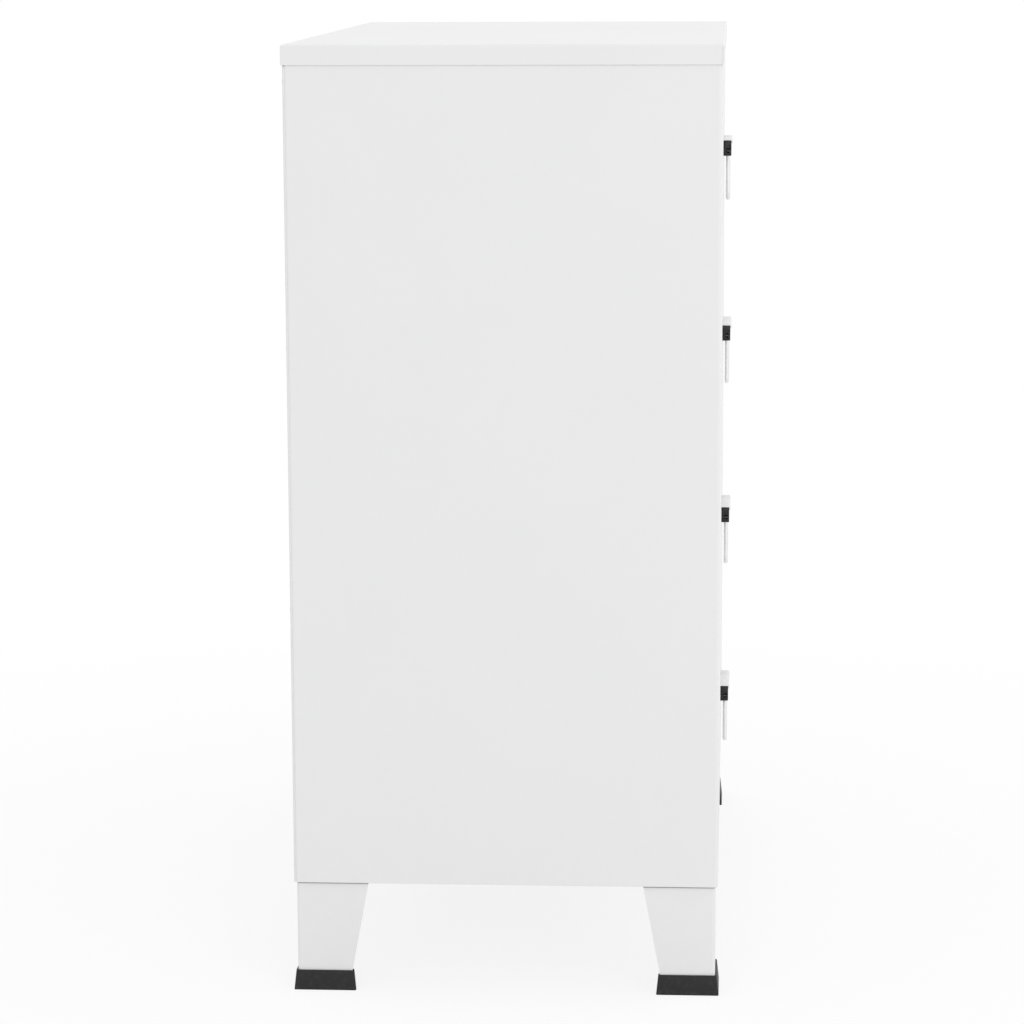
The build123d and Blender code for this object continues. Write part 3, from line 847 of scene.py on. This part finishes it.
@dataclass
class DropHandles:
    """Black brackets with two lugs under white hoods, with bright bails between the lugs."""

    plate: float = 2 * MM
    boss: float = 5 * MM
    boss_width: float = 40 * MM
    lug: float = 6 * MM
    lug_radius: float = 0.8 * MM
    soft_edge: float = 0.25 * MM
    hood_sheet: float = 1.2 * MM
    hood_lip: float = 4 * MM
    hood_radius: float = 1.8 * MM
    hood_corner: float = 1.5 * MM
    hood_soft_edge: float = 0.15 * MM
    axis_height: float = 5.3 * MM
    axis_proud: float = 4.8 * MM
    bore: float = 2.28 * MM
    rod: float = 2.2 * MM
    bail_width: float = 54 * MM
    bail_drop: float = 48.5 * MM
    top_radius: float = 2.8 * MM
    corner_radius: float = 6 * MM
    tenon: float = 2.2 * MM
    tenon_shoulder: float = 2 * MM
    tenon_share: float = 0.42
    rod_sides: int = 20
    bore_sides: int = 32
    top_steps: int = 6
    corner_steps: int = 10
    smooth_angle: float = 50

    def build_bracket(self) -> Piece:
        """Models half of the top drawer's bracket, a plate with lug and boss, and mirrors it.

        Returns:
            The bracket.
        """
        low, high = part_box("drawer_1_handle_bracket")
        face = low.y + self.hood_sheet
        plate_face = high.y - self.plate
        corner = Vector((0, high.y, high.z - self.hood_sheet))
        bracket = Bench.block("drawer_1_bracket", Vector((low.x, plate_face, low.z)), corner)
        inner = low.x + self.lug
        boss_end = -self.boss_width / 2
        with Bench.editing(bracket):
            for x in (inner, boss_end):
                Bench.pick_faces(lambda at, normal: normal.y < -FACING)
                Bench.slice(Vector((x, plate_face, low.z)), Vector((1, 0, 0)))
            Bench.pick_faces(lambda at, normal: normal.y < -FACING and at.x > boss_end)
            Bench.push(Vector((0, self.plate - self.boss, 0)))
            Bench.pick_faces(lambda at, normal: normal.y < -FACING and at.x < inner)
            Bench.push(Vector((0, face - plate_face, 0)))
            Bench.pick_faces(lambda at, normal: at.x > -TINY)
            bpy.ops.mesh.delete(type="FACE")
            Bench.merge_flats()
            Bench.pick_edges(lambda at, along: at.y < face + TINY)
            Bench.round_off(self.lug_radius, 4)
        Bench.modify(bracket, "MIRROR", use_clip=True)
        Bench.mend(bracket)
        axis_y = high.y - self.axis_proud
        axis_z = low.z + self.axis_height
        ends = [Vector((x, axis_y, axis_z)) for x in (low.x - MM, high.x + MM)]
        Bench.cut(bracket, Bench.drum("bore", self.bore, *ends, self.bore_sides))
        Bench.soften(bracket, self.soft_edge)
        Bench.smooth(bracket)
        return bracket

    def build_hood(self) -> Piece:
        """Models the top drawer's hood: a strip with a lip drawn down its front and a rounded fold.

        Returns:
            The hood.
        """
        low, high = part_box("drawer_1_handle_bracket")
        under = high.z - self.hood_sheet
        inner = low.y + self.hood_sheet
        hood = Bench.block("drawer_1_hood", Vector((low.x, low.y, under)), high)
        with Bench.editing(hood):
            Bench.pick_faces(lambda at, normal: normal.z < -FACING)
            Bench.slice(Vector((0, inner, under)), Vector((0, 1, 0)))
            Bench.pick_faces(lambda at, normal: normal.z < -FACING and at.y < inner)
            Bench.push(Vector((0, 0, self.hood_sheet - self.hood_lip)))
            Bench.merge_flats()
            Bench.pick_edges(lambda at, along: abs(along.y) > FACING and at.z < under - TINY)
            Bench.round_off(self.hood_corner, 4)
            Bench.pick_edges(lambda at, along: at.y < low.y + TINY and at.z > high.z - TINY)
            Bench.round_off(self.hood_radius, 6)
            fold = Vector((0, inner, under))
            Bench.pick_edges(lambda at, along: abs(along.x) > FACING and (at - fold).length < TINY)
            Bench.round_off(self.hood_radius - self.hood_sheet, 4)
        Bench.soften(hood, self.hood_soft_edge)
        Bench.smooth(hood)
        return hood

    def build_bail(self) -> Piece:
        """Draws a ring along half of the bent rod, flattens its end, and mirrors it.

        Returns:
            The top drawer's bail.
        """
        low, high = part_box("drawer_1_handle_bail")
        axis = Vector((0, (low.y + high.y) / 2, high.z - self.rod))
        arm = -self.bail_width / 2
        end = Vector((low.x, axis.y, axis.z))
        Bench.clear()
        bpy.ops.mesh.primitive_circle_add(
            vertices=self.rod_sides, radius=self.rod, fill_type="NGON", location=end,
            rotation=(0, -math.pi / 2, 0))
        bail = Bench.settle(bpy.context.object, "drawer_1_bail")
        with Bench.editing(bail):
            Bench.pick_all()
            bpy.ops.transform.resize(value=(1, 1, self.tenon_share), center_override=end)
            Bench.push(Vector((self.tenon, 0, 0)))
            Bench.push(Vector((self.tenon_shoulder, 0, 0)))
            shoulder = end + Vector((self.tenon + self.tenon_shoulder, 0, 0))
            bpy.ops.transform.resize(value=(1, 1, 1 / self.tenon_share), center_override=shoulder)
            bend = Vector((arm - self.top_radius, axis.y, axis.z))
            Bench.push(bend - shoulder)
            self._turn(bend - Vector((0, 0, self.top_radius)), self.top_steps, 1)
            Bench.push(Vector((0, 0, self.top_radius + self.corner_radius - self.bail_drop)))
            bend_height = axis.z - self.bail_drop + self.corner_radius
            elbow = Vector((arm + self.corner_radius, axis.y, bend_height))
            self._turn(elbow, self.corner_steps, -1)
            Bench.push(Vector((-elbow.x, 0, 0)))
            bpy.ops.mesh.delete(type="FACE")
        Bench.modify(bail, "MIRROR", use_clip=True)
        Bench.mend(bail)
        Bench.smooth(bail, self.smooth_angle)
        return bail

    @staticmethod
    def _turn(centre: Vector, steps: int, way: int) -> None:
        """Spins the ring a quarter turn about a centre, along Y."""
        bpy.ops.mesh.spin(steps=steps, angle=-way * math.pi / 2, center=centre, axis=(0, 1, 0))

    def dress(self, pieces: list[Piece], finishes: Finishes) -> None:
        """Copies the handle to every drawer and seats it there.

        Args:
            pieces: The top drawer's bracket, hood and bail.
            finishes: The made materials.
        """
        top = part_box("drawer_1_handle_bracket")[0]
        for number in DRAWERS:
            drawer = f"drawer_{number}"
            node = f"{drawer}_handle_bracket"
            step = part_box(node)[0] - top
            bracket, hood, bail = (Bench.for_drawer(piece, number, step) for piece in pieces)
            seat(bracket, node, drawer, Slot.BRACKET_BLACK, finishes)
            seat(hood, node, drawer, Slot.WHITE_COAT, finishes)
            seat(bail, f"{drawer}_handle_bail", f"{drawer}_bail", Slot.BAIL_CHROME, finishes)


@dataclass
class Drawers:
    """Folded drawer fronts and the boxes behind them."""

    sheet: float = 1 * MM
    front_radius: float = 1.8 * MM
    lip: float = 20 * MM
    box_sheet: float = 0.8 * MM
    box_radius: float = 2 * MM
    hem: float = 10 * MM
    soft_edge: float = 0.25 * MM

    def build_front(self) -> Piece:
        """Models the top front: a block with rounded front edges, opened behind and thinned to sheet.

        Returns:
            The front.
        """
        low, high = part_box("drawer_1_front")
        front = Bench.block("drawer_1_front_pan", low, high)
        with Bench.editing(front):
            Bench.pick_edges(lambda at, along: at.y < low.y + TINY)
            Bench.round_off(self.front_radius, 5)
            Bench.pick_faces(lambda at, normal: normal.y > FACING)
            bpy.ops.mesh.inset(thickness=self.lip)
            bpy.ops.mesh.delete(type="FACE")
        Bench.modify(front, "SOLIDIFY", thickness=self.sheet, offset=-1, use_even_offset=True)
        Bench.soften(front, self.soft_edge)
        Bench.smooth(front)
        return front

    def build_box(self) -> Piece:
        """Models the top box: a rounded tub of thin sheet with a doubled hem on three sides.

        Returns:
            The box.
        """
        low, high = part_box("drawer_1_box")
        inset = Vector((self.box_sheet, 0, 0))
        tub = Bench.block("drawer_1_tub", low + inset, high - inset - Vector((0, self.box_sheet, 0)))
        with Bench.editing(tub):
            Bench.pick_faces(lambda at, normal: normal.z > FACING)
            bpy.ops.mesh.delete(type="ONLY_FACE")
            Bench.pick_edges(lambda at, along: abs(along.z) > FACING or at.z < low.z + TINY)
            Bench.round_off(self.box_radius, 4)
        Bench.modify(tub, "SOLIDIFY", thickness=self.box_sheet, offset=-1, use_even_offset=True)
        hem_low = high.z - self.hem
        middle = (low + high) / 2
        with Bench.editing(tub):
            Bench.pick_all()
            Bench.slice(Vector((0, 0, hem_low)), Vector((0, 0, 1)))
            Bench.pick_faces(lambda at, normal: self._in_hem(at, normal, hem_low, middle))
            doubled = {"value": self.box_sheet}
            bpy.ops.mesh.extrude_region_shrink_fatten(TRANSFORM_OT_shrink_fatten=doubled)
        Bench.mend(tub)
        Bench.smooth(tub)
        return tub

    @staticmethod
    def _in_hem(at: Vector, normal: Vector, hem_low: float, middle: Vector) -> bool:
        """Whether a wall face is on the outside of the hem, at the sides or the back."""
        outwards = normal.dot(at - middle) > 0 and abs(normal.z) < LEVEL
        return outwards and at.z > hem_low and normal.y > -NEARLY

    def dress(self, front: Piece, tub: Piece, finishes: Finishes) -> None:
        """Copies front and box to every drawer and seats them there.

        Args:
            front: The top drawer's front.
            tub: The top drawer's box.
            finishes: The made materials.
        """
        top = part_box("drawer_1_box")[0]
        for number in DRAWERS:
            drawer = f"drawer_{number}"
            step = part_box(f"{drawer}_box")[0] - top
            for piece, node in ((front, f"{drawer}_front"), (tub, f"{drawer}_box")):
                own = Bench.for_drawer(piece, number, step)
                seat(own, node, drawer, Slot.WHITE_COAT, finishes)


@dataclass
class Fasteners:
    """Hexagon bolts of the legs and cross-slotted screws of the back panel."""

    bolt_chamfer: float = 0.9 * MM
    thread_chamfer: float = 0.5 * MM
    nut_height: float = 4 * MM
    head_height: float = 4 * MM
    shank: float = 3 * MM
    shank_sides: int = 20
    head_sides: int = 28
    dome: float = 0.85 * MM
    cross_width: float = 0.8 * MM
    cross_length: float = 3.8 * MM
    cross_depth: float = 0.8 * MM
    neck: float = 2 * MM
    soft_edge: float = 0.15 * MM

    def build_bolts(self) -> Piece:
        """Models one bolt with its nut on the CAD node's first bolt, and copies it to the others.

        Returns:
            All leg bolts as one piece.
        """
        shortest = self.nut_height + self.head_height
        places = [(low, high) for low, high in Bench.places_in("leg_bolts") if high.z - low.z > shortest]
        return Bench.join(Bench.repeat(self._bolt(*places[0]), places), "leg_bolt_set")

    def _bolt(self, low: Vector, high: Vector) -> Piece:
        """One hexagon bolt and its nut.

        Args:
            low: Lowest corner of the bolt.
            high: Its highest corner.

        Returns:
            Both as one object.
        """
        middle = (low + high) / 2
        across = (high.x - low.x) / 2
        foot = Vector((middle.x, middle.y, low.z))
        top = Vector((middle.x, middle.y, high.z))
        head = Bench.drum("bolt", across, foot, foot + Vector((0, 0, self.head_height)), HEXAGON)
        nut = Bench.drum("nut", across, top - Vector((0, 0, self.nut_height)), top, HEXAGON)
        neck = foot + Vector((0, 0, self.head_height / 2))
        shank = Bench.drum("shank", self.shank, neck, top, self.shank_sides)
        with Bench.editing(shank):
            Bench.pick_faces(lambda at, normal: normal.z > FACING)
            Bench.round_off(self.thread_chamfer, 1)
        for piece, way in ((head, -1), (nut, 1)):
            with Bench.editing(piece):
                Bench.pick_edges(lambda at, along: way * (at.z - (foot if way < 0 else top).z) > -TINY)
                Bench.round_off(self.bolt_chamfer, 3)
            Bench.soften(piece, self.soft_edge)
        bolt = Bench.join([head, nut, shank], "bolt")
        Bench.smooth(bolt)
        return bolt

    def build_screws(self) -> Piece:
        """Models one pan-head screw on the CAD node's first screw, and copies it to the others.

        Returns:
            All back screws as one piece.
        """
        places = Bench.places_in("back_screws")
        return Bench.join(Bench.repeat(self._screw(*places[0]), places), "back_screw_set")

    def _screw(self, low: Vector, high: Vector) -> Piece:
        """One screw with a domed head and a cross slot, its head towards +Y.

        Args:
            low: Lowest corner of the screw.
            high: Its highest corner.

        Returns:
            The screw.
        """
        middle = (low + high) / 2
        face = Vector((middle.x, high.y, middle.z))
        seat_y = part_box("back_panel")[1].y
        under = Vector((middle.x, seat_y, middle.z))
        screw = Bench.drum("screw", (high.x - low.x) / 2, under, face, self.head_sides)
        with Bench.editing(screw):
            Bench.pick_edges(lambda at, along: at.y > face.y - TINY)
            Bench.round_off(self.dome, 5, clamp_overlap=True)
            Bench.pick_faces(lambda at, normal: normal.y < -FACING)
            bpy.ops.mesh.inset(thickness=(high.x - low.x) / 2 - self.neck)
            Bench.push(Vector((0, low.y - seat_y, 0)))
        for long_axis in (Vector((1, 0, 0)), Vector((0, 0, 1))):
            half = Vector((self.cross_width, 0, self.cross_width)) / 2
            half += long_axis * (self.cross_length - self.cross_width) / 2
            half.y = self.cross_depth
            Bench.cut(screw, Bench.block("cross", face - half, face + half))
        Bench.soften(screw, self.soft_edge / 2, 1)
        Bench.smooth(screw)
        return screw

    def dress(self, bolts: Piece, screws: Piece, finishes: Finishes) -> None:
        """Seats both sets on the cabinet."""
        seat(bolts, "leg_bolts", "cabinet", Slot.FASTENER_ZINC, finishes)
        seat(screws, "back_screws", "cabinet", Slot.FASTENER_ZINC, finishes)


@dataclass
class BallCages:
    """Pressed cages of the slides, with smooth steel balls in their pockets."""

    ball_limit: float = 4 * MM
    ball_cuts: int = 4
    smooth_angle: float = 60

    def build(self, number: int) -> Piece:
        """Keeps the two cage strips of a drawer's node and puts smooth balls where its balls are.

        Args:
            number: The drawer.

        Returns:
            Both cages and their balls as one piece.
        """
        strips: list[Piece] = []
        balls: list[Corners] = []
        for solid in Bench.split_node(f"drawer_{number}_ball_cages"):
            low, high = corners_of(solid)
            if high.y - low.y > self.ball_limit:
                Bench.smooth(solid)
                strips.append(solid)
            else:
                balls.append((low, high))
                bpy.data.objects.remove(solid)
        pieces = strips + Bench.repeat(self._ball(*balls[0]), balls)
        return Bench.join(pieces, f"drawer_{number}_cages_and_balls")

    def _ball(self, low: Vector, high: Vector) -> Piece:
        """A cube subdivided and drawn out to a sphere between two corners."""
        ball = Bench.block("ball", low, high)
        with Bench.editing(ball):
            Bench.pick_all()
            bpy.ops.mesh.subdivide(number_cuts=self.ball_cuts)
            bpy.ops.transform.tosphere(value=1)
        grown = corners_of(ball)
        share = (high.x - low.x) / (grown[1].x - grown[0].x)
        with Bench.editing(ball):
            Bench.pick_all()
            bpy.ops.transform.resize(value=(share, share, share), center_override=(low + high) / 2)
        Bench.smooth(ball, self.smooth_angle)
        return ball

    def dress(self, number: int, piece: Piece, finishes: Finishes) -> None:
        """Seats the cages of one drawer."""
        node = f"drawer_{number}_ball_cages"
        seat(piece, node, f"drawer_{number}_cages", Slot.SLIDE_ZINC, finishes)


@dataclass(frozen=True)
class Softbox:
    """A square soft lamp."""

    name: str
    place: Colour
    target: Colour
    width: float
    power: float

    def hang(self) -> None:
        """Puts the lamp in the scene, facing its target."""
        light = bpy.data.lights.new(self.name, "AREA")
        light.size = self.width
        light.energy = self.power
        lamp = bpy.data.objects.new(self.name, light)
        lamp.location = self.place
        lamp.rotation_mode = "QUATERNION"
        run = Vector(self.target) - Vector(self.place)
        lamp.rotation_quaternion = run.to_track_quat("-Z", "Y")
        bpy.context.scene.collection.objects.link(lamp)


SOFTBOXES = (
    Softbox("top_softbox", place=(0.0, 0.0, 3.2), target=(0.0, 0.0, 0.4), width=2.4, power=3),
    Softbox("front_softbox", place=(0.6, -3.1, 2.4), target=(0.0, 0.0, 0.5), width=2.4, power=11),
    Softbox("side_softbox", place=(-3.6, -2.0, 2.3), target=(0.0, 0.0, 0.5), width=3.0, power=29),
)


@dataclass
class Studio:
    """White floor and surround, soft lamps, and the photograph's camera."""

    camera_place: Colour = (-3.5424, -0.2078, 0.9913)
    camera_yaw: float = 3.698
    camera_pitch: float = -9.526
    camera_roll: float = -0.25
    focal_pixels: float = 3464.5
    frame_pixels: float = 1024
    sensor: float = 36
    sky_light: float = 0.85
    floor_width: float = 60
    floor_white: float = 0.85
    fade_start: float = 0.4
    fade_end: float = 1.4
    floor_colour: Colour = (0.90, 0.90, 0.90)

    def build(self) -> None:
        """Sets up camera, world, floor and lamps."""
        self._camera()
        self._world()
        self._floor()
        for lamp in SOFTBOXES:
            lamp.hang()
        bpy.context.scene.view_settings.view_transform = "Standard"

    def _camera(self) -> None:
        """The camera at the photograph's viewing angle, with no shift."""
        yaw, pitch, roll = map(math.radians, (self.camera_yaw, self.camera_pitch, self.camera_roll))
        reach = math.cos(pitch)
        ahead = Vector((math.cos(yaw) * reach, math.sin(yaw) * reach, math.sin(pitch)))
        level = Vector((math.sin(yaw), -math.cos(yaw), 0))
        upright = level.cross(ahead)
        right = level * math.cos(roll) + upright * math.sin(roll)
        up = upright * math.cos(roll) - level * math.sin(roll)
        lens = bpy.data.cameras.new("photo_camera")
        lens.sensor_width = self.sensor
        lens.lens = self.sensor * self.focal_pixels / self.frame_pixels
        camera = bpy.data.objects.new("photo_camera", lens)
        turn = Matrix((right, up, -ahead)).transposed().to_4x4()
        camera.matrix_world = Matrix.Translation(self.camera_place) @ turn
        bpy.context.scene.collection.objects.link(camera)
        bpy.context.scene.camera = camera

    @staticmethod
    def _seen(board: NodeBoard) -> Wire:
        """1 for rays from the camera, and for those by way of gloss or glass."""
        rays = [board.add("ShaderNodeLightPath", output=name)
                for name in ("Is Camera Ray", "Is Glossy Ray", "Is Transmission Ray")]
        return rays[0].largest(rays[1]).largest(rays[2])

    def _world(self) -> None:
        """White where it is seen, and a plain soft light on the object."""
        world = bpy.data.worlds.new("white_surround")
        world.use_nodes = True
        board = NodeBoard(world.node_tree)
        white = (1, 1, 1, 1)
        light = board.add("ShaderNodeBackground", None, {"Color": white, "Strength": self.sky_light})
        shown = board.add("ShaderNodeBackground", None, {"Color": white, "Strength": 1})
        mixed = board.add("ShaderNodeMixShader", None, {0: self._seen(board), 1: light, 2: shown})
        board.add("ShaderNodeOutputWorld", None, {"Surface": mixed})
        bpy.context.scene.world = world

    def _floor(self) -> None:
        """A wide pale floor that keeps a soft shadow and fades to the white surround."""
        Bench.clear()
        bpy.ops.mesh.primitive_plane_add(size=self.floor_width)
        floor = Bench.settle(bpy.context.object, "studio_floor")
        material, board = new_board("studio_floor")
        matt = board.add("ShaderNodeBsdfDiffuse", None, {"Color": (*self.floor_colour, 1)})
        white = board.add("ShaderNodeEmission", None, {"Color": (1, 1, 1, 1), "Strength": 1})
        far = board.add(
            "ShaderNodeVectorMath", {"operation": "LENGTH"}, {0: board.place()}, output="Value")
        share = (far - self.fade_start) * (1 / (self.fade_end - self.fade_start))
        fade = board.ramp(share, [(0.0, self.floor_white), (1.0, 1.0)])
        mixed = board.add("ShaderNodeMixShader", None, {0: self._seen(board) * fade, 1: matt, 2: white})
        board.add("ShaderNodeOutputMaterial", None, {"Surface": mixed})
        floor.data.materials.append(material)


def main() -> None:
    """Builds every sub-assembly in order, dresses it, and sets up the studio."""
    logging.basicConfig(level=logging.INFO, format="%(name)s: %(message)s")
    finishes = Finishes()
    Carcass().dress(finishes)
    seams = SeamBeads()
    seams.dress(seams.build(), finishes)
    feet = FootCaps()
    feet.dress(feet.build(), finishes)
    drawers = Drawers()
    drawers.dress(drawers.build_front(), drawers.build_box(), finishes)
    handles = DropHandles()
    handles.dress([handles.build_bracket(), handles.build_hood(), handles.build_bail()], finishes)
    fasteners = Fasteners()
    fasteners.dress(fasteners.build_bolts(), fasteners.build_screws(), finishes)
    cages = BallCages()
    for number in DRAWERS:
        cages.dress(number, cages.build(number), finishes)
    Studio().build()


if __name__ == "__main__":
    main()
